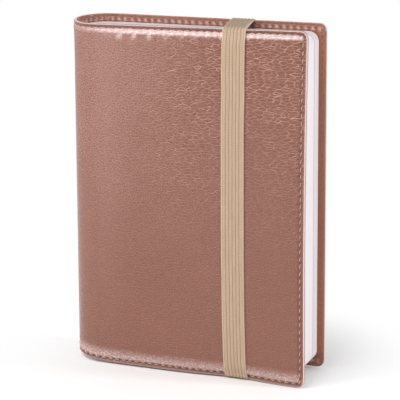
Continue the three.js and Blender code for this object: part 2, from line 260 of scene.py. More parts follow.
# Cover leather: one soft pebbled skin round the front, the spine and the back, drawn over foam and turned in
# at its edges. Sizes are in millimetres, and places are unrolled: u runs from a crease to the fore edge, and
# is negative round the spine, and v runs up from the bottom edge.
HEIGHT = 157.0
PANEL = 99.8
HALF_DEPTH = 14.75
SPINE_REACH = 13.7
CREASE_X = -43.05
FORE_CORNER = 3.4
CROWN = 1.75
STITCH_INSET = 1.8
STITCH_PITCH = 3.3
BAND_WIDTH = 10.6
BAND_THICKNESS = 0.9
BAND_U = 67.5
BAND_SKEW = 6.5
SLOT_INSET = 9.5
FRONT, BACK = -1, 1

spine_angles = np.linspace(0.0, math.pi, 400)
spine_across, spine_deep = SPINE_REACH * np.sin(spine_angles), HALF_DEPTH * np.cos(spine_angles)
spine_steps = np.hypot(np.diff(spine_across), np.diff(spine_deep))
spine_lengths = np.concatenate([[0.0], np.cumsum(spine_steps)])
SPINE_LENGTH = float(spine_lengths[-1])


def ease(value, low, high):
    """0 below low, 1 above high, and an even curve between them."""
    share = np.clip((value - low) / (high - low), 0.0, 1.0)
    return share * share * (3.0 - 2.0 * share)


def hump(value, middle, reach):
    return np.exp(-(((value - middle) / reach) ** 2))


def ripples(u, v, seed, longest, shortest):
    """Gentle uneven waves over the cover, between about -1 and 1."""
    count, usual_peak = 14, 1.6
    chance = np.random.default_rng(seed)
    total = np.zeros(np.broadcast(u, v).shape)
    for _ in range(count):
        length = chance.uniform(shortest, longest)
        heading = chance.uniform(0.0, math.tau)
        phase = chance.uniform(0.0, math.tau)
        distance = u * math.cos(heading) + v * math.sin(heading)
        total = total + np.sin(math.tau * distance / length + phase)
    return total / count**0.5 / usual_peak


SEAM_BEHIND_CREASE = 5.0
COVER_LEFT = {FRONT: SEAM_BEHIND_CREASE - SPINE_LENGTH, BACK: -SEAM_BEHIND_CREASE}


def rounded_grid(left, right, bottom, top, corner, inset, step, corner_steps):
    """(u, v) of a grid over a sheet with its right corners rounded, drawn in by inset on three sides."""
    radius = corner - inset
    share = np.linspace(0.0, 1.0, corner_steps + 1)[1:]
    middle_u = np.linspace(left, right - corner, round((right - corner - left) / step) + 1)
    high = top - bottom - 2 * corner
    middle_v = np.linspace(bottom + corner, top - corner, round(high / step) + 1)
    base_u = np.concatenate([middle_u, np.full(corner_steps, right - corner)])
    base_v = np.concatenate(
        [np.full(corner_steps, bottom + corner), middle_v, np.full(corner_steps, top - corner)]
    )
    to_right = np.concatenate([np.zeros(len(middle_u)), share])[None, :]
    to_top = np.concatenate([-share[::-1], np.zeros(len(middle_v)), share])[:, None]
    u = base_u[None, :] + radius * to_right * np.sqrt(1.0 - to_top**2 / 2.0)
    v = base_v[:, None] + radius * to_top * np.sqrt(1.0 - to_right**2 / 2.0)
    return u, v


def cover_grid(side, inset, step, corner_steps):
    """The same grid over one cover and its part of the spine."""
    return rounded_grid(COVER_LEFT[side], PANEL, 0.0, HEIGHT, FORE_CORNER, inset, step, corner_steps)


def border(grid):
    """A grid's three outer sides, from the left end of the bottom row round to that of the top row."""
    return np.concatenate([grid[0], grid[1:, -1], grid[-1, -2::-1]])


def seam_path(side):
    """The seam's unrolled path round a cover, and the length to each of its points."""
    u, v = cover_grid(side, STITCH_INSET, step=0.5, corner_steps=8)
    path = np.stack([border(u), border(v)], axis=1)
    steps = np.hypot(*np.diff(path, axis=0).T)
    return path, np.concatenate([[0.0], np.cumsum(steps)])


def first_stitch(side):
    """Length along the seam to its first hole."""
    whole = seam_path(side)[1][-1]
    return (whole - whole // STITCH_PITCH * STITCH_PITCH) / 2


def seam_run(side, u, v):
    """Length along the seam abreast of a point, from the seam's first hole."""
    whole = seam_path(side)[1][-1]
    below = u - COVER_LEFT[side]
    beside = whole / 2 + v - HEIGHT / 2
    above = whole - below
    level = np.where(v < HEIGHT / 2, below, above)
    by_fore_edge = (PANEL - u) < np.minimum(v, HEIGHT - v)
    return np.where(by_fore_edge, beside, level) - first_stitch(side)


def band_middle(side):
    """Where the band's middle crosses the top and the bottom edge of a cover, in u."""
    return (BAND_U - (BAND_SKEW if side == BACK else 0.0), BAND_U)


def edge_distance(u, v):
    """Distance from the nearest outer edge, with the mitres at the corners eased."""
    softness = 0.8
    total = np.exp(-v / softness) + np.exp(-(HEIGHT - v) / softness) + np.exp(-(PANEL - u) / softness)
    return -softness * np.log(total)


# The front board's bow: its part at half height, its tilt and its curve up the cover, and how fast it grows
# from the spine; and how far the band pulls it in at the bottom and at the top.
BOW_MIDDLE, BOW_TILT, BOW_CURVE, BOW_GROWTH = 1.79, -1.33, -2.02, 1.3
PULL_BOTTOM, PULL_TOP, PULL_REACH, PULL_WIDTH = 2.2, 0.2, 14.0, 18.0


def bow(side, u, v):
    """How far the swelling pages bend the front board out at half height, and the band pulls it in."""
    if side == BACK:
        return np.zeros(np.broadcast(u, v).shape)
    along = 2.0 * v / HEIGHT - 1.0
    from_spine = np.clip(u / PANEL, 0.0, 1.0) ** BOW_GROWTH
    bent = from_spine * (BOW_MIDDLE + BOW_TILT * along + BOW_CURVE * along**2)
    pulled = PULL_BOTTOM * np.exp(-v / PULL_REACH) + PULL_TOP * np.exp(-(HEIGHT - v) / PULL_REACH)
    return bent - pulled * hump(u, BAND_U, PULL_WIDTH)


BAND_DENT, DENT_WIDTH, DENT_REACH = 0.3, BAND_WIDTH * 0.55, 5.0
SPINE_WORN, SPINE_WORN_REACH = 1.7, 9.0
FORE_SAG, FORE_SAG_REACH = 0.65, 30.0
TOP_FALL, TOP_CREASE_RISE, TOP_REACH = 0.9, 0.7, 40.0


def edge_draw(side, u, v):
    """How far the top and bottom edges lie off a straight line, pulled in by the band and softly worn."""
    top, bottom = band_middle(side)
    lower = hump(u, bottom, DENT_WIDTH) * (1.0 - ease(v, 0.0, DENT_REACH))
    upper = hump(u, top, DENT_WIDTH) * ease(v, HEIGHT - DENT_REACH, HEIGHT)
    drawn = BAND_DENT * (lower - upper)
    from_spine = np.clip(u / PANEL, 0.0, 1.0)
    round_spine = np.minimum(-u, SPINE_LENGTH + u)
    drawn = drawn + SPINE_WORN * ease(round_spine, -8.0, 15.0) * np.exp(-v / SPINE_WORN_REACH)
    if side == FRONT:
        drawn = drawn - FORE_SAG * from_spine**2 * np.exp(-v / FORE_SAG_REACH)
        lowered = TOP_FALL * from_spine - TOP_CREASE_RISE * ease(u, -0.6 * SPINE_LENGTH, -2.0)
        drawn = drawn + lowered * ease(v, HEIGHT - TOP_REACH, HEIGHT)
    return drawn


RIM_FLAT = 2.3
PADDING_SLOPE = 2.6


def padding_rise(side, u, v):
    """How high the padding lifts the leather over the flat rim."""
    inward = edge_distance(u, v)
    rise = CROWN * (1.0 - np.exp(-np.clip(inward - RIM_FLAT, 0.0, None) / PADDING_SLOPE))
    return rise * ease(u, -7.0, 15.0)


# Ridges and grooves along the edge: height, distance in from the edge, and half width.
EDGE_BEAD = (0.12, 0.3, 0.35)
SEAM_GROOVE = (-0.32, STITCH_INSET - 0.15, 0.55)
HOLE_DIP = (-0.22, STITCH_INSET + 0.1, 0.6)
STITCH_BULGE = (0.22, 3.0, 0.8)
PUCKER, PUCKER_START, PUCKER_REACH = 0.12, (2.6, 3.6), 3.5
# Swells of the padded face: height, seed, longest and shortest wave.
SWELLS = [(0.2, 11, 60.0, 22.0), (0.05, 31, 16.0, 6.0)]
BAND_TROUGH, TROUGH_WIDTH = 0.45, BAND_WIDTH * 0.62


def ridge(inward, height, middle, reach):
    return height * hump(inward, middle, reach)


def relief(side, u, v):
    """Height of the leather over the cover's plain outer face."""
    inward = edge_distance(u, v)
    along = seam_run(side, u, v)
    between = 0.5 - 0.5 * np.cos(math.tau * along / STITCH_PITCH)
    rise = padding_rise(side, u, v) + ridge(inward, *EDGE_BEAD) + ridge(inward, *SEAM_GROOVE)
    rise = rise + ridge(inward, *HOLE_DIP) * (1.0 - between)
    rise = rise + ridge(inward, *STITCH_BULGE) * (0.2 + 0.8 * between)
    sway = 1.3 * np.sin(u / 9.0 + v / 7.0)
    puckers = np.cos(math.tau * along / (2 * STITCH_PITCH) + sway) * ease(inward, *PUCKER_START)
    rise = rise + PUCKER * puckers * np.exp(-np.clip(inward - PUCKER_REACH, 0.0, None) / PUCKER_REACH)
    inside = ease(inward, 3.0, 9.0) * ease(u, -SEAM_BEHIND_CREASE, 15.0)
    for height, seed, longest, shortest in SWELLS:
        rise = rise + inside * height * ripples(u, v, seed + side, longest, shortest)
    if side == FRONT:
        rise = rise - BAND_TROUGH * hump(u, BAND_U, TROUGH_WIDTH) ** 2 * inside
    return rise


# The spine stands out further at its foot than at its top.
FOOT_SPREAD, SPREAD_FALL, TOP_SPREAD = 1.6, 1.9, -0.2


def place(side, u, v, out):
    """Points of the diary at unrolled (u, v), standing out from the cover's outer face."""
    angle = np.interp(-u, spine_lengths, spine_angles)
    reach = SPINE_REACH + np.maximum(FOOT_SPREAD - SPREAD_FALL * np.asarray(v) / HEIGHT, TOP_SPREAD)
    across, along = -np.sin(angle) / reach, side * np.cos(angle) / HALF_DEPTH
    length = np.hypot(across, along)
    x = CREASE_X + np.maximum(u, 0.0) - reach * np.sin(angle) + out * across / length
    y = side * HALF_DEPTH * np.cos(angle) + out * along / length
    return np.stack([x, y, v + np.zeros_like(x)], axis=-1)


def grid_quads(rows, columns):
    first = np.arange(rows * columns).reshape(rows, columns)
    corners = [first[:-1, :-1], first[:-1, 1:], first[1:, 1:], first[1:, :-1]]
    return np.stack([corner.ravel() for corner in corners], axis=1)


def strip_quads(first, second):
    """Quads between two runs of point numbers of the same length."""
    return np.stack([first[:-1], first[1:], second[1:], second[:-1]], axis=1)


def in_metres(parts):
    """One array of points, from several in millimetres."""
    return np.concatenate([part.reshape(-1, 3) for part in parts]) * MM


def make_piece(name, points, quads, finish, unrolled, flip=False, seam=None):
    """A smooth mesh from parts of its points, of its quads and of the places that it keeps of its points."""
    quads = np.concatenate(quads)
    if flip:
        quads = quads[:, ::-1]
    mesh = bpy.data.meshes.new(name)
    mesh.from_pydata(in_metres(points).tolist(), [], quads.tolist())
    mesh.polygons.foreach_set("use_smooth", np.ones(len(mesh.polygons), bool))
    for title, places in (("unrolled", unrolled), ("seam", seam)):
        if places is not None:
            kept = mesh.attributes.new(title, "FLOAT_VECTOR", "POINT")
            kept.data.foreach_set("vector", in_metres(places).astype(np.float32).ravel())
    mesh.materials.append(finish.material)
    mesh.update()
    made = add_object(name, mesh)
    return made


def unrolled_place(side, u, v, depth):
    """Where a point lies on the whole unrolled cover, with the back cover to the left of the spine."""
    along = u if side == FRONT else -SPINE_LENGTH - u
    return np.stack([along, v, depth + np.zeros_like(u)], axis=-1)


SKIN_STEP = 0.55
SKIN_CORNER_STEPS = 8
SKIN_FACE_INSET = 0.55
# The skin's edge: rings of (inset, depth) round its rolled wall, and then turned in under the cover.
EDGE_WALL = [(0.32, 0.05), (0.15, 0.17), (0.04, 0.36), (0.0, 0.58), (0.0, 1.0), (0.02, 1.25), (0.12, 1.42)]
EDGE_TURNED_IN = [(0.4, 1.48), (1.6, 1.5)]


def seam_place(side, u, v):
    """Where a point lies along the seam, and how far in from the cover's edge."""
    inward = edge_distance(u, v)
    return np.stack([seam_run(side, u, v), inward, np.zeros_like(inward)], axis=-1)


def cover_skin(name, side, finish, slots=()):
    """The leather over one cover and its part of the spine, with its edge turned in under it."""
    u, v = cover_grid(side, SKIN_FACE_INSET, SKIN_STEP, SKIN_CORNER_STEPS)
    out = relief(side, u, v) + bow(side, u, v)
    points = [place(side, u, v + edge_draw(side, u, v), out)]
    unrolled = [unrolled_place(side, u, v, 0.0)]
    seam = [seam_place(side, u, v)]
    face = grid_quads(*u.shape)
    for slot_u, slot_v, half_width, half_height in slots:
        centre_u = u.ravel()[face].mean(axis=1)
        centre_v = v.ravel()[face].mean(axis=1)
        face = face[(abs(centre_u - slot_u) > half_width) | (abs(centre_v - slot_v) > half_height)]
    quads = [face]
    loop = border(np.arange(u.size).reshape(u.shape))
    count = u.size
    for inset, depth in EDGE_WALL + EDGE_TURNED_IN:
        ring_u, ring_v = (border(part) for part in cover_grid(side, inset, SKIN_STEP, SKIN_CORNER_STEPS))
        lip = relief(side, ring_u, ring_v) * ease(inset, 0.0, SKIN_FACE_INSET)
        ring_out = bow(side, ring_u, ring_v) - depth + lip
        points.append(place(side, ring_u, ring_v + edge_draw(side, ring_u, ring_v), ring_out))
        unrolled.append(unrolled_place(side, ring_u, ring_v, depth))
        seam.append(seam_place(side, ring_u, ring_v))
        ring = count + np.arange(len(ring_u))
        quads.append(strip_quads(ring, loop))
        loop = ring
        count += len(ring_u)
    return make_piece(name, points, quads, finish, unrolled, side == BACK, seam)


LEATHER_DEEP = dye(98, 52, 38)
LEATHER_MAIN = dye(136, 78, 54)
# Painted light among these tones: a crease highlight, a highlight and reflection tone, a sheen tone, and the
# stitch holes' shade.
LEATHER_CREASE_HIGHLIGHT = dye(217, 168, 154)
LEATHER_HIGHLIGHT = dye(246, 216, 212)
LEATHER_SHEEN = dye(182, 136, 128)
STITCH_HOLE_SHADE = dye(62, 32, 25)
WRINKLE_HEIGHT = 1.3 * MM
WRINKLE_STRETCH = 0.36
WRINKLE_LEAN = math.radians(-7)
WANDER = 1.0 * MM
FOLD_HALF_WIDTH = 0.15 * MM
PEBBLE = 1.2 * MM
FINE_PORE = 0.4 * MM
GRAIN_HEIGHT = 0.5 * MM
WANDERS, BREAKS, CLOUDS, HIGHLIGHT_RAGS, SPECKLES = 420.0, 280.0, 34.0, 620.0, 1100.0  # waves in a metre


def leather_grain(made, where):
    """Tumbled cow leather: its height from 0 to 1, its creases, painted paler as a painted highlight
    strongest over the upper part and on the pebbles at the upper left, its pores and its cloudy regions.
    Small flat pebbles are everywhere, and level wrinkles lie over a cover's upper part."""

    def cells(spot, size, feature):
        settings = {"voronoi_dimensions": "2D", "feature": feature}
        return made.add("ShaderNodeTexVoronoi", settings, {"Vector": spot, "Scale": 1.0 / size})

    wander = made.vector("SUBTRACT", made.noise(where, WANDERS, 3.0).output("Color"), (0.5, 0.5, 0.5))
    offset = made.add("ShaderNodeVectorMath", {"operation": "SCALE"}, {0: wander, "Scale": WANDER})
    bent = made.vector("ADD", where, offset)
    mapping = {"Vector": bent, "Rotation": (0.0, 0.0, WRINKLE_LEAN), "Scale": (WRINKLE_STRETCH, 1.0, 1.0)}
    drawn_out = made.add("ShaderNodeMapping", {"vector_type": "POINT"}, mapping)
    above, below = (
        cells(made.vector("ADD", drawn_out, (0.0, shift, 0.0)), WRINKLE_HEIGHT, "F1").output("Color")
        for shift in (FOLD_HALF_WIDTH, -FOLD_HALF_WIDTH)
    )
    broken = 0.25 + 0.75 * made.smooth(made.noise(where, BREAKS), 0.34, 0.62)
    folds = made.smooth(made.vector("DISTANCE", above, below).output("Value"), 0.1, 1.0) * broken
    region = made.noise(where, CLOUDS)
    x, y, _ = made.axes(where)
    upper = made.smooth(y + (region - 0.5) * 0.08, 0.04, 0.15)
    outer = made.smooth(x + (region - 0.5) * 0.06, -0.005, 0.07)
    share = 0.08 + upper * (0.28 + 0.82 * outer)
    edges = 1.0 - made.smooth(cells(drawn_out, WRINKLE_HEIGHT, "DISTANCE_TO_EDGE"), 0.0, 0.2)
    wrinkles = folds * 0.85 + edges * 0.22
    pebbled = made.smooth(cells(bent, PEBBLE, "DISTANCE_TO_EDGE"), 0.0, 0.26)
    pores = made.noise(where, 1.0 / FINE_PORE)
    height = (1.0 - wrinkles) * share + pebbled * 0.3 + pores * 0.14
    # Crease tone: the grain's creases, painted paler as a painted highlight, the wrinkles most at the upper
    # right and the pebbles most at the upper left.
    crease_highlight = wrinkles * share + (1.0 - pebbled) * (0.13 + 0.42 * upper * (1.0 - outer))
    return height, crease_highlight, pores, region


def leather_finish(name, deep, main, pale, roughness):
    """Grained leather with a waxed shine: the finish, the place on it, its colour, with its creases painted
    paler as a painted highlight, and its height.
    """
    made = Finish(name, Roughness=roughness, Specular_IOR_Level=0.5, Coat_Weight=0.6, Coat_Roughness=0.18)
    where = made.kept_place()
    height, crease_highlight, pores, region = leather_grain(made, where)
    dull = made.mix((made.smooth(region, 0.7, 0.2) + made.smooth(pores, 0.75, 0.3)) * 0.12, main, deep)
    made.wear("Roughness", roughness + 0.1 * crease_highlight + 0.12 * (pores - 0.5))
    return made, where, made.mix(crease_highlight * 0.75, dull, pale), height


leather, leather_place, leather_tone, leather_height = leather_finish(
    "rose_brown_leather", LEATHER_DEEP, LEATHER_MAIN, LEATHER_CREASE_HIGHLIGHT, 0.36
)
leather.bump(leather_height, GRAIN_HEIGHT)
# Painted top highlight and bottom reflection, in millimetres in from an end of the cover: where each fades,
# and how ragged its border is.
UPPER_END = (60.0, 90.0)
TOP_HIGHLIGHT_FADE, TOP_HIGHLIGHT_RAGGED = (2.9, 4.2), 1.3 * MM
BOTTOM_REFLECTION_FADE, BOTTOM_REFLECTION_RAGGED = (2.6, 8.5), 2.6 * MM
# Painted highlight, sheen, shade and reflection along the unrolled cover, in millimetres from the front
# crease; less than 0 is round the spine.
TOP_HIGHLIGHT_ALONG = (-8.0, 24.0)
SPINE_TURN_SHADE = (8.0, -5.0)
SPINE_RIM_REFLECTION, SPINE_RIM_REFLECTION_BACK = (-12.0, -21.0), (-60.0, -34.0)
SHEEN_ACROSS, SHEEN_BACK_FADE, SHEEN_LEAN = (10.0, -70.0), (-90.0, -40.0), 0.35
# Edges, in millimetres: the rolled wall, painted with a highlight, by its depth, and the rim, painted with a
# highlight, and the seam's groove, painted with shade, by their inset.
WALL_START, WALL_END = (0.03, 0.2), (1.3, 1.46)
FLAT_RIM, GROOVE_MIDDLE, GROOVE_AT_TOP, GROOVE_HALF = (0.9, 1.4), 1.3, 0.9, (0.4, 0.75)
HOLE_HALF = (0.2, 0.5)

leather_x, leather_up, turned_in = leather.axes(leather_place)
along_seam, inward, _ = leather.axes(leather.kept_place("seam"))
from_end = HEIGHT / 2 * MM - abs(leather_up - HEIGHT / 2 * MM)
at_top = leather.beyond(leather_up, *UPPER_END)
at_bottom = 1.0 - at_top
ragged = leather.noise(leather_place, HIGHLIGHT_RAGS, 3.0) - 0.5
speckle = leather.smooth(leather.noise(leather_place, SPECKLES), 0.36, 0.64)
at_stitches = leather.math("COSINE", along_seam * (math.tau / (STITCH_PITCH * MM)))
# Painted highlight on the padded shoulder under the top seam, scalloped by the stitches and fading towards
# the spine.
top_highlight = at_top * (1.0 - leather.beyond(from_end + ragged * TOP_HIGHLIGHT_RAGGED, *TOP_HIGHLIGHT_FADE))
top_highlight = top_highlight * (0.88 - 0.12 * at_stitches) * (0.3 + 0.7 * leather.beyond(leather_x, *TOP_HIGHLIGHT_ALONG))
top_highlight = top_highlight * leather.beyond(inward - (1.55 + 0.25 * at_stitches) * MM, -0.15, 0.2)
# Painted reflection on the padded shoulder above the bottom seam, speckled; the two together make the
# shoulder highlight.
bottom_reflection = at_bottom * (1.0 - leather.beyond(from_end + ragged * BOTTOM_REFLECTION_RAGGED, *BOTTOM_REFLECTION_FADE))
shoulder_highlight = top_highlight + bottom_reflection * (0.28 + 0.44 * speckle) * leather.beyond(inward, 1.9, 2.4)
# Painted sheen, paler towards the upper left and over the spine, fading round to the back.
upper_left_sheen = leather.beyond(leather_x - leather_up * SHEEN_LEAN, *SHEEN_ACROSS)
upper_left_sheen = upper_left_sheen * (0.25 + 0.75 * leather.beyond(leather_x, *SHEEN_BACK_FADE))
# Painted reflection on the spine's rounded rim.
spine_rim_reflection = leather.beyond(leather_x, *SPINE_RIM_REFLECTION) * leather.beyond(leather_x, *SPINE_RIM_REFLECTION_BACK)
# Painted shade: less sheen where the spine turns away.
spine_turn_shade = leather.beyond(leather_x, *SPINE_TURN_SHADE) * (1.0 - spine_rim_reflection)
# Painted highlight on the rolled edge wall.
wall_highlight = leather.beyond(turned_in, *WALL_START) * (1.0 - leather.beyond(turned_in, *WALL_END))
from_hole = leather.math("PINGPONG", along_seam, STITCH_PITCH / 2 * MM)
hole_reach = (from_hole * from_hole + (inward - STITCH_INSET * MM) ** 2.0) ** 0.5
near_bottom = at_bottom * (1.0 - leather.beyond(from_end, 3.0, 6.0))
# Painted shade in the stitch holes, stronger by the bottom end.
hole = (1.0 - leather.beyond(hole_reach, *HOLE_HALF)) * (0.15 + 0.5 * near_bottom)
# Painted highlight on the flat rim by the bottom end.
bottom_rim_highlight = near_bottom * (1.0 - wall_highlight) * (1.0 - leather.beyond(inward, *FLAT_RIM))
# Painted shade in the seam's groove, strongest by the ends.
groove_shift = (GROOVE_MIDDLE - GROOVE_AT_TOP) * at_top * (1.0 - leather.beyond(from_end, 2.0, 3.0))
groove_middle = (GROOVE_MIDDLE - groove_shift) * MM
shaded_groove = (1.0 - leather.beyond(abs(inward - groove_middle), *GROOVE_HALF)) * (1.0 - wall_highlight)
shaded_groove = shaded_groove * (0.1 + 0.5 * (1.0 - leather.beyond(from_end, 2.2, 3.6)))
# All the painted highlights and reflections, to be laid in the highlight tone.
painted_highlights = leather.math("MAXIMUM", shoulder_highlight, wall_highlight * 0.8 + spine_rim_reflection * 0.3 + bottom_rim_highlight * 0.22)
leather_tone = leather.mix(upper_left_sheen * (0.45 - 0.3 * spine_turn_shade), leather_tone, LEATHER_SHEEN)
leather_tone = leather.mix(painted_highlights, leather_tone, LEATHER_HIGHLIGHT)
leather_tone = leather.mix(shaded_groove, leather_tone, LEATHER_DEEP)
leather.wear("Base Color", leather.mix(hole, leather_tone, STITCH_HOLE_SHADE))
front_leather = cover_skin("front_and_spine_leather", FRONT, leather)
back_slots = [
    (band_middle(BACK)[0], HEIGHT - SLOT_INSET, BAND_WIDTH / 2 + 0.4, 0.9),
    (band_middle(BACK)[1], SLOT_INSET, BAND_WIDTH / 2 + 0.4, 0.9),
]
back_leather = cover_skin("back_cover_leather", BACK, leather, back_slots)
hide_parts("front_leather", "spine_leather")
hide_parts("back_leather")


def fold_at_crease(piece):
    """Bakes the piece's placement into its mesh."""
    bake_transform(piece)


fold_at_crease(front_leather)
fold_at_crease(back_leather)

# Lining: thin smooth brown leather inside the covers and the spine. It is glued to the boards, and its edge
# lies flush with the turned-in edge of the cover leather, which it is sewn to.
LINING_OUTSIDE = 1.55
LINING_INSIDE = 2.2
LINING_STEP = 1.2
LINING_DEEP = dye(100, 58, 44)
LINING_MAIN = dye(163, 100, 73)
# The lining's pale tone is a painted highlight in its grain's creases.
LINING_CREASE_HIGHLIGHT = dye(180, 120, 96)


def layer_piece(name, side, grid_of, profile, finish, follow_padding=False):
    """A closed sheet in a cover, from rings (inset, depth) round its edge from one face to the other. They
    are open at the left, where the two faces are joined straight."""
    points, unrolled, quads, count = [], [], [], 0
    for number, (inset, depth) in enumerate(profile):
        u, v = grid_of(inset)
        rows, columns = u.shape
        is_face = number in (0, len(profile) - 1)
        if not is_face:
            u, v = border(u), border(v)
        out = bow(side, u, v) - depth
        if follow_padding and number == 0:
            out = out + padding_rise(side, u, v)
        points.append(place(side, u, v + edge_draw(side, u, v), out))
        unrolled.append(unrolled_place(side, u, v, depth))
        ring = count + np.arange(u.size)
        if is_face:
            left_end = ring.reshape(rows, columns)[:, 0]
            faces = grid_quads(rows, columns) + count
            quads.append(faces if number == 0 else faces[:, ::-1])
            ring = border(ring.reshape(rows, columns))
        if number == 0:
            first_end = left_end
        else:
            quads.append(strip_quads(ring, last_ring))
        last_ring = ring
        count += u.size
    quads.append(strip_quads(first_end, left_end))
    return make_piece(name, points, quads, finish, unrolled, flip=side == BACK)


lining, lining_place, lining_tone, lining_height = leather_finish(
    "lining_leather", LINING_DEEP, LINING_MAIN, LINING_CREASE_HIGHLIGHT, 0.42
)
lining_x, lining_up, _ = lining.axes(lining_place)
from_middle = abs(lining_up - HEIGHT / 2 * MM)
by_end = lining.beyond(from_middle, HEIGHT / 2 - 9.0, HEIGHT / 2 - 5.0)
at_seam = 1.0 - lining.beyond(abs(from_middle - (HEIGHT / 2 - 2.6) * MM), 0.3, 1.6)
tucks = lining.waves(lining_x * (math.tau / (STITCH_PITCH * MM)) + lining.noise(lining_place, 220.0) * 3.0)
lining.bump(lining_height * (0.3 + 0.9 * by_end) + at_seam * (0.5 + 0.9 * tucks), GRAIN_HEIGHT)
# Painted highlight on the tucks by the seam near the ends.
lining.wear("Base Color", lining.mix(by_end * at_seam * tucks * 0.5, lining_tone, LEATHER_HIGHLIGHT))

LINING_RINGS = [(0.5, LINING_OUTSIDE), (0.1, LINING_OUTSIDE + 0.06), (0.0, LINING_OUTSIDE + 0.2)]
LINING_RINGS += [(0.0, LINING_INSIDE - 0.2), (0.1, LINING_INSIDE - 0.05), (0.5, LINING_INSIDE)]


def cover_lining(name, side):
    def lining_grid(inset):
        return cover_grid(side, inset, LINING_STEP, corner_steps=5)

    return layer_piece(name, side, lining_grid, LINING_RINGS, lining)


front_lining = cover_lining("front_and_spine_lining", FRONT)
back_lining = cover_lining("back_cover_lining", BACK)
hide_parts("front_lining", "spine_lining")
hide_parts("back_lining")
fold_at_crease(front_lining)
fold_at_crease(back_lining)

# Stiffening: each cover holds a grey board with a thin sheet of foam on it, which fills out the leather.
# Both lie between the leather and the lining, inside the seam.
BOARD_INSET = 3.6
BOARD_OUTSIDE = 0.55
BOARD_INSIDE = 1.48
FOAM_INSET = 5.2
FOAM_UNDER_LEATHER = 1.05
FOAM_EDGE = 0.35
COVERS = ((FRONT, "front"), (BACK, "back"))

board_finish = Finish("grey_board", Roughness=0.9)
board_fibre = board_finish.noise(board_finish.solid_place(), 900.0, 4.0, 0.7)
board_finish.wear("Base Color", board_finish.mix(board_fibre, dye(122, 116, 104), dye(152, 145, 133)))
board_finish.bump(board_fibre, 0.08 * MM)

foam_finish = Finish("padding_foam", Roughness=0.95)
foam_sockets = {"Vector": foam_finish.solid_place(), "Scale": 1800.0}
foam_cells = foam_finish.add("ShaderNodeTexVoronoi", {"feature": "F1"}, foam_sockets)
foam_finish.wear("Base Color", foam_finish.mix(foam_cells, dye(206, 200, 188), dye(236, 232, 222)))
foam_finish.bump(foam_cells, 0.15 * MM)


def inner_grid(left, edge, corner, step, corner_steps):
    """The grid, for any inset, of a sheet that stops short of the cover's edges."""
    box = (left, PANEL - edge, edge, HEIGHT - edge, corner)
    return lambda inset: rounded_grid(*box, inset, step, corner_steps)


board_grid = inner_grid(BOARD_INSET, BOARD_INSET, corner=2.0, step=2.4, corner_steps=4)
foam_grid = inner_grid(FOAM_INSET, FOAM_INSET, corner=2.5, step=1.6, corner_steps=4)
board_rings = [(0.1, BOARD_OUTSIDE), (0.0, BOARD_OUTSIDE + 0.1)]
board_rings += [(0.0, BOARD_INSIDE - 0.1), (0.1, BOARD_INSIDE)]
foam_rings = [(0.5, FOAM_UNDER_LEATHER), (0.0, FOAM_EDGE)]
foam_rings += [(0.0, BOARD_OUTSIDE - 0.1), (0.5, BOARD_OUTSIDE - 0.05)]
for side, word in COVERS:
    board = layer_piece(f"{word}_cover_board", side, board_grid, board_rings, board_finish)
    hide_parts(f"{word}_board")
    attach(board, f"{word}_cover")
    foam = layer_piece(f"{word}_cover_foam", side, foam_grid, foam_rings, foam_finish, True)
    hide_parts(f"{word}_padding")
    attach(foam, f"{word}_cover")

# Pastedowns: a sheet of plain cream paper in each cover. It is pasted flat over the lining, and stops short
# of the lining's edges and of the gutter.
PASTEDOWN_INSET = 6.0
PASTEDOWN_LEFT = 6.5
PAPER_WHITE = dye(246, 240, 245)

endpaper_finish = Finish("cream_endpaper", Roughness=0.8)
endpaper_place = endpaper_finish.solid_place()
endpaper_fibre = endpaper_finish.noise(endpaper_place, 1500.0, 4.0, 0.7)
endpaper_mix = (endpaper_fibre + endpaper_finish.noise(endpaper_place, 60.0)) * 0.5
endpaper_tone = endpaper_finish.mix(endpaper_mix, dye(232, 223, 219), dye(245, 239, 237))
endpaper_finish.wear("Base Color", endpaper_tone)
endpaper_finish.bump(endpaper_fibre, 0.03 * MM)

pasted_grid = inner_grid(PASTEDOWN_LEFT, PASTEDOWN_INSET, corner=2.25, step=2.4, corner_steps=6)
pasted_rings = [(0.0, LINING_INSIDE + 0.02), (0.0, LINING_INSIDE + 0.24)]
for side, word in COVERS:
    name = f"{word}_cover_pastedown"
    pastedown = layer_piece(name, side, pasted_grid, pasted_rings, endpaper_finish)
    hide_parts(f"{word}_pastedown")
    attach(pastedown, f"{word}_cover")

# Sewing: waxed thread in a lockstitch right round the cover, which holds the leather and lining together.
# It shows on both faces, rose outside and brown inside, with the inner stitches half a pitch further on.
STITCH_SHARE = 0.62
STITCH_LEAN, LEAN_SPREAD = 0.16, 0.05
ARCH_RISE, ARCH_SINK = 0.2, 0.12
THREAD_LIFT = 0.12
THREAD_HALF_WIDTH = 0.22
THREAD_HALF_HEIGHT = 0.18
THREAD_SIDES = 8
STITCH_RINGS = 7
PLY_LAY = 0.45 * MM


def thread_finish(name, shaded, light):
    """Two waxed plies twisted together."""
    made = Finish(name, Roughness=0.42, Specular_IOR_Level=0.5)
    x, y, z = made.axes(made.kept_place())
    ply = made.waves((x + y + z * 2.0) * (math.tau / PLY_LAY))
    made.wear("Base Color", made.mix(ply, shaded, light))
    made.bump(ply, 0.06 * MM)
    return made


needle_thread = thread_finish("rose_needle_thread", dye(196, 158, 149), dye(238, 212, 206))
bobbin_thread = thread_finish("brown_bobbin_thread", dye(112, 70, 55), dye(158, 114, 98))


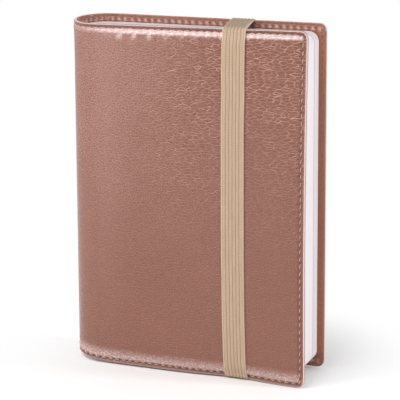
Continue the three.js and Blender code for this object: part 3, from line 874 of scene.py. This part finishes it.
def sewn_run(name, side, outside):
    """All the stitches of one face of a cover: short arched lengths of thread that dip into their holes."""
    path, lengths = seam_path(side)
    count = int(lengths[-1] // STITCH_PITCH)
    start = first_stitch(side) + (0.0 if outside else STITCH_PITCH / 2)
    along = np.linspace(-0.5, 0.5, STITCH_RINGS)
    arch = ARCH_RISE * np.cos(math.pi * along) - ARCH_SINK
    slim = np.sqrt(np.clip(1.0 - (1.92 * along) ** 2, 0.02, 1.0))[:, None, None]
    ring = np.linspace(0.0, math.tau, THREAD_SIDES, endpoint=False)
    wide, high = np.cos(ring) * THREAD_HALF_WIDTH, np.sin(ring) * THREAD_HALF_HEIGHT
    ring_numbers = np.arange(STITCH_RINGS * THREAD_SIDES).reshape(STITCH_RINGS, THREAD_SIDES)
    wrapped = np.concatenate([ring_numbers, ring_numbers[:, :1]], axis=1)
    chance = np.random.default_rng(5)
    points, quads = [], []
    for number in range(count if outside else count - 1):
        lean = chance.normal(0.0, LEAN_SPREAD) + STITCH_LEAN
        distance = start + (number + 0.5 + along * STITCH_SHARE) * STITCH_PITCH
        u, v = (np.interp(distance, lengths, path[:, part]) for part in (0, 1))
        if outside:
            out = relief(side, u, v) + bow(side, u, v) + arch + THREAD_LIFT
        else:
            out = bow(side, u, v) - LINING_INSIDE - arch - 0.02
        v_drawn = v + edge_draw(side, u, v)
        centre = place(side, u, v_drawn, out)
        up = (place(side, u, v_drawn, out + 1.0) - centre) * (1.0 if outside else -1.0)
        forward = np.gradient(centre, axis=0)
        forward /= np.linalg.norm(forward, axis=1)[:, None]
        across = np.cross(forward, up)
        across /= np.linalg.norm(across, axis=1)[:, None]
        centre = centre + across * (lean * along * 2.0)[:, None]
        body = across[:, None, :] * wide[None, :, None] + up[:, None, :] * high[None, :, None]
        first = len(points) * ring_numbers.size
        quads += [strip_quads(near, far) + first for near, far in zip(wrapped[:-1], wrapped[1:])]
        points.append(centre[:, None, :] + body * slim)
    finish = needle_thread if outside else bobbin_thread
    return make_piece(name, points, quads, finish, points)


for side, word in COVERS:
    outer_stitches = sewn_run(f"{word}_outer_stitches", side, outside=True)
    inner_stitches = sewn_run(f"{word}_inner_stitches", side, outside=False)
    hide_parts(f"{word}_needle_thread")
    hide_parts(f"{word}_bobbin_thread")
    fold_at_crease(outer_stitches)
    fold_at_crease(inner_stitches)

# Book block: smooth white leaves sewn and glued at a rounded back under open cloth, a blue grey divider with
# the address section behind it, and a card that stiffens the spine. These keep the solids they have.
LEAF_GRAIN = 0.235 * MM
LEAF_STREAKS = (40.0, 2600.0, 40.0)
THREAD_GAP = 0.8 * MM


def page_finish(name, pale, shaded):
    """Paper whose cut edges show its leaves as fine lines across the block's thickness."""
    made = Finish(name, Roughness=0.75, Specular_IOR_Level=0.3)
    where = made.solid_place()
    uneven = made.noise(made.vector("MULTIPLY", where, LEAF_STREAKS), 1.0)
    turns = made.axes(where)[1] * (math.tau / LEAF_GRAIN) + uneven * 5.0
    lines = made.smooth(made.math("SINE", turns), -0.6, 0.9)
    tone = (1.0 - lines) * 0.3 + uneven * 0.2 + made.noise(where, 1400.0, 3.0) * 0.15
    made.wear("Base Color", made.mix(tone, pale, shaded))
    made.bump(lines + uneven * 0.5, 0.05 * MM)
    return made


def dress(node, finish):
    """Gives its finish to a solid that keeps its shape."""
    nodes[node].data.materials.clear()
    nodes[node].data.materials.append(finish.material)


divider_finish = Finish("blue_grey_card", Roughness=0.6)
divider_fibre = divider_finish.noise(divider_finish.solid_place(), 1200.0, 3.0)
divider_finish.wear("Base Color", divider_finish.mix(divider_fibre, dye(104, 116, 142), dye(140, 150, 174)))
divider_finish.bump(divider_fibre, 0.03 * MM)

cloth_finish = Finish("open_binding_cloth", Roughness=0.95)
cloth_x, cloth_y, cloth_z = cloth_finish.axes(cloth_finish.solid_place())
upright_thread, level_thread = (
    cloth_finish.smooth(cloth_finish.math("SINE", across * (math.tau / THREAD_GAP)), 0.0, 0.7)
    for across in (cloth_x + cloth_y, cloth_z)
)
weave = cloth_finish.math("MAXIMUM", upright_thread, level_thread)
cloth_finish.wear("Base Color", cloth_finish.mix(weave, dye(170, 160, 140), dye(226, 220, 206)))
cloth_finish.bump(weave, 0.2 * MM)

dress("page_block", page_finish("page_block_paper", PAPER_WHITE, dye(205, 198, 200)))
dress("address_section", page_finish("address_paper", dye(236, 227, 231), dye(198, 188, 194)))
dress("divider_card", divider_finish)
dress("spine_card", board_finish)
dress("spine_mull", cloth_finish)

# Turning leaves: six groups of thin sheets at the front and one at the back, held in the gutter by the
# binding. The front ones lie a little closer together where the bent front board presses on them.
PAGE_LEFT = -42.9
PAGE_RIGHT = 53.55
PAGE_BOTTOM = 3.5
PAGE_TOP = 153.5
PAGE_CORNER = 4.5
LEAF_PITCH = 0.7
STACK_FRONT = -11.95
BLOCK_FRONT = -7.75
SHEETS_PER_LEAF = 3
SHEET_SHARE = 0.72
GUTTER_TUCK = 0.15
RULE_PITCH = 7.0 * MM
RULED_ACROSS, RULED_UP, RULE_FADE = (-33.0, 45.8), (13.0, 141.0), 0.2

leaf_finish = Finish("ruled_leaf", Roughness=0.75, Specular_IOR_Level=0.3)
leaf_place = leaf_finish.kept_place()
leaf_x, _, leaf_z = leaf_finish.axes(leaf_place)
leaf_fibre = leaf_finish.noise(leaf_place, 1400.0, 3.0)
rule = 1.0 - leaf_finish.beyond(leaf_finish.math("PINGPONG", leaf_z, RULE_PITCH / 2), 0.08, 0.2)
for coordinate, (low, high) in ((leaf_x, RULED_ACROSS), (leaf_z, RULED_UP)):
    rule = rule * leaf_finish.beyond(coordinate, low, low + RULE_FADE)
    rule = rule * (1.0 - leaf_finish.beyond(coordinate, high, high + RULE_FADE))
paper_tone = leaf_finish.mix(leaf_fibre * 0.4, PAPER_WHITE, dye(232, 226, 226))
leaf_finish.wear("Base Color", leaf_finish.mix(rule * 0.55, paper_tone, dye(160, 166, 184)))
leaf_finish.bump(leaf_fibre, 0.02 * MM)

page_u, page_v = rounded_grid(PAGE_LEFT, PAGE_RIGHT, PAGE_BOTTOM, PAGE_TOP, PAGE_CORNER, 0.0, 2.5, 6)


def leaf_group(name, front, finish, pressed):
    """Thin closed sheets, one behind the other, between front and front plus one leaf's pitch."""
    points, quads, count = [], [], 0
    tucked = ease(-page_u, 40.6, 42.0) * GUTTER_TUCK
    height = page_v + tucked * np.sign(HEIGHT / 2 - page_v)
    numbers = np.arange(page_u.size).reshape(page_u.shape)
    sheet = grid_quads(*page_u.shape)
    for number in range(SHEETS_PER_LEAF):
        near = front + LEAF_PITCH * number / SHEETS_PER_LEAF
        far = near + LEAF_PITCH / SHEETS_PER_LEAF * SHEET_SHARE
        for y in (near, far):
            depth = np.full(page_u.shape, y)
            if pressed:
                share = (BLOCK_FRONT - depth) / (BLOCK_FRONT - STACK_FRONT)
                depth = depth - bow(FRONT, page_u - CREASE_X, page_v) * share + tucked
            points.append(np.stack([page_u, depth, height], axis=-1))
        near_ring = np.concatenate([border(numbers), numbers[-2::-1, 0]]) + count
        far_ring = near_ring + page_u.size
        quads += [sheet + count, (sheet + count + page_u.size)[:, ::-1], strip_quads(far_ring, near_ring)]
        count += 2 * page_u.size
    return make_piece(name, points, quads, finish, points)


def turn_from_gutter(piece):
    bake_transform(piece)


front_leaves = [("front_flyleaf", "flyleaf_front", endpaper_finish, "endpaper")]
for number, word in enumerate(("first", "second", "third", "fourth", "fifth"), 1):
    front_leaves.append((f"{word}_leaf", f"leaf_{number}", leaf_finish, "paper"))
for number, (node, body, finish, slot) in enumerate(front_leaves):
    leaf = leaf_group(f"{node}_sheets", STACK_FRONT + number * LEAF_PITCH, finish, pressed=True)
    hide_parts(node)
    turn_from_gutter(leaf)

BACK_LEAF_FRONT = 11.37
back_leaf = leaf_group("back_flyleaf_sheets", BACK_LEAF_FRONT, endpaper_finish, pressed=False)
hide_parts("back_flyleaf")
turn_from_gutter(back_leaf)

# Closing band: woven elastic with six ribs along it and a firm edge on both sides. Its tails pass through
# two slots in the back cover and are glued under the leather; it is drawn over both ends and the front.
RIBS = 6
RIB_HEIGHT = 0.16
SELVEDGE = 0.62
PICK = 0.85 * MM
BAND_STEP = 0.5
BAND_COLUMNS = 61
BAND_OVER_EDGE = 0.3
TAIL = 14.0
TAIL_DEPTH = 1.7
half_thick, half_band = BAND_THICKNESS / 2, BAND_WIDTH / 2


def path_over_top(u):
    """(y, z) of the band's middle line at u, from its tail, out of the slot and over the top edge."""

    def on_back(height):
        return HALF_DEPTH + float(relief(BACK, np.array(u), np.array(height)))

    slot = HEIGHT - SLOT_INSET
    tail_y = on_back(HEIGHT - 17.0) - TAIL_DEPTH
    path = [(tail_y, slot - 2.4 - TAIL), (tail_y, slot - 3.4)]
    path += [(on_back(slot) - 0.5, slot - 0.5), (on_back(slot + 1.5) + half_thick, slot + 2.4)]
    path += [(on_back(HEIGHT - below) + half_thick + 0.05, HEIGHT - below) for below in (6.0, 4.0, 2.4)]
    path += [(HALF_DEPTH + half_thick + 0.15, HEIGHT - 0.8), (HALF_DEPTH - 0.7, HEIGHT + BAND_OVER_EDGE)]
    return path + [(-HALF_DEPTH + 2.6, HEIGHT + BAND_OVER_EDGE)]


def front_height(z):
    """How far out the leather of the front cover carries the band."""
    u = np.full(np.shape(z), BAND_U)
    across = [relief(FRONT, u + shift, np.asarray(z)) for shift in (-4.5, -2.0, 0.0, 2.0, 4.5)]
    return HALF_DEPTH + np.max(across, axis=0) + bow(FRONT, u, np.asarray(z))


front_z = np.linspace(HEIGHT - 2.4, 2.4, 80)
front_line = [(-float(front_height(z)) - half_thick - 0.02, float(z)) for z in front_z]
turn_y = -float(front_height(HEIGHT - 1.0)) - half_thick - 0.1
slipped, straight = band_middle(BACK)
over_bottom = [(y, HEIGHT - z) for y, z in path_over_top(straight)][::-1]
band_path = path_over_top(slipped) + [(turn_y, HEIGHT - 0.9)] + front_line + [(turn_y, 0.9)] + over_bottom


def rounded_line(line, step, rounds=3):
    """The line with its corners cut back and its points spread evenly."""
    for _ in range(rounds):
        before, after = line[:-1] * 0.75 + line[1:] * 0.25, line[:-1] * 0.25 + line[1:] * 0.75
        cut = np.empty((2 * len(before), line.shape[1]))
        cut[0::2], cut[1::2] = before, after
        line = np.concatenate([line[:1], cut, line[-1:]])
    lengths = np.concatenate([[0.0], np.cumsum(np.hypot(*np.diff(line, axis=0).T))])
    even = np.linspace(0.0, lengths[-1], round(lengths[-1] / step) + 1)
    return np.stack([np.interp(even, lengths, line[:, k]) for k in range(line.shape[1])], axis=1), even


band_line, band_lengths = rounded_line(np.array(band_path), BAND_STEP)
tangent = np.gradient(band_line, axis=0)
tangent /= np.linalg.norm(tangent, axis=1)[:, None]
outward = np.stack([tangent[:, 1], -tangent[:, 0]], axis=1)
if outward[len(outward) // 2, 0] > 0:
    outward = -outward
slip_share = np.clip((band_line[:, 0] + HALF_DEPTH) / (2 * HALF_DEPTH), 0.0, 1.0)
slip = BAND_SKEW * slip_share * ease(band_line[:, 1], HEIGHT * 0.45, HEIGHT * 0.55)
across_share = np.linspace(-1.0, 1.0, BAND_COLUMNS)
from_side = half_band * (1.0 - abs(across_share))
rib_zone = ease(from_side, SELVEDGE * 0.8, SELVEDGE * 1.3)
rib_phase = across_share * half_band / (half_band - SELVEDGE) * RIBS / 2
ribs = RIB_HEIGHT * (abs(np.cos(math.pi * (rib_phase + 0.5 * (RIBS % 2 == 0)))) - 0.75)
section = rib_zone * ribs + (1.0 - rib_zone) * RIB_HEIGHT * 0.25
section = section - 0.3 * BAND_THICKNESS * (1.0 - ease(from_side, 0.0, 0.28))
band_chance = np.random.default_rng(3)
waver = np.interp(band_lengths, np.linspace(0, band_lengths[-1], 30), band_chance.normal(0.0, 0.06, 30))
front_x = CREASE_X + BAND_U
points, unrolled = [], []
for face in (1.0, -1.0):
    stand = half_thick + section if face > 0 else -half_thick - section * 0.6
    x = front_x - slip[:, None] + waver[:, None] + across_share[None, :] * half_band
    y = band_line[:, :1] + outward[:, :1] * stand[None, :]
    z = band_line[:, 1:] + outward[:, 1:] * stand[None, :]
    points.append(np.stack([x, y, z], axis=-1))
    along = np.broadcast_to(band_lengths[:, None], x.shape)
    over = np.broadcast_to(across_share[None, :] * half_band, x.shape)
    unrolled.append(np.stack([over, along, np.full(x.shape, face)], axis=-1))
rows, columns = len(band_line), BAND_COLUMNS
numbers = np.arange(rows * columns).reshape(rows, columns)
ring = np.concatenate([border(numbers), numbers[-2::-1, 0]])
outer_face = grid_quads(rows, columns)
inner_face = (outer_face + rows * columns)[:, ::-1]
band_quads = [outer_face, inner_face, strip_quads(ring + rows * columns, ring)]

band_finish = Finish("ribbed_elastic", Roughness=0.6, Sheen_Weight=0.15, Sheen_Roughness=0.4)
band_place = band_finish.kept_place()
over, along, _ = band_finish.axes(band_place)
rib_turn = over * (RIBS / 2 * math.pi / ((half_band - SELVEDGE) * MM)) + math.pi / 2
shaded_groove = 1.0 - band_finish.smooth(abs(band_finish.math("COSINE", rib_turn)), 0.1, 0.55)
firm_edge = band_finish.beyond(abs(over), half_band - SELVEDGE * 1.2, half_band - SELVEDGE * 0.8)
picks = band_finish.waves(along * (math.tau / PICK) + band_finish.noise(band_place, 500.0) * 3.0)
uneven = band_finish.noise(band_finish.vector("MULTIPLY", band_place, (1.0, 0.12, 1.0)), 900.0, 3.0)
from_band_middle = abs(along - band_lengths[-1] / 2 * MM)
end_shade = band_finish.beyond(from_band_middle, HEIGHT / 2 + 0.5, HEIGHT / 2 + 4.0)
band_tone = band_finish.mix(uneven, dye(182, 154, 127), dye(206, 179, 153))
# Painted shade in the rib grooves.
band_tone = band_finish.mix(shaded_groove * (1.0 - firm_edge) * 0.75, band_tone, dye(124, 98, 72))
band_tone = band_finish.mix(picks * 0.28, band_tone, dye(150, 121, 92))
# Painted shade where the band crosses the covers' ends.
band_tone = band_finish.mix(end_shade * 0.55, band_tone, dye(128, 106, 74))
# Painted highlight along the firm edges.
band_finish.wear("Base Color", band_finish.mix(firm_edge * 0.6, band_tone, dye(218, 193, 168)))
band_finish.bump(picks * 0.5 + uneven * 0.5 - shaded_groove * 0.8, 0.08 * MM)
band = make_piece("ribbed_closing_band", points, band_quads, band_finish, unrolled)
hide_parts("elastic_band")
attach(band, "back_cover")
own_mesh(band)
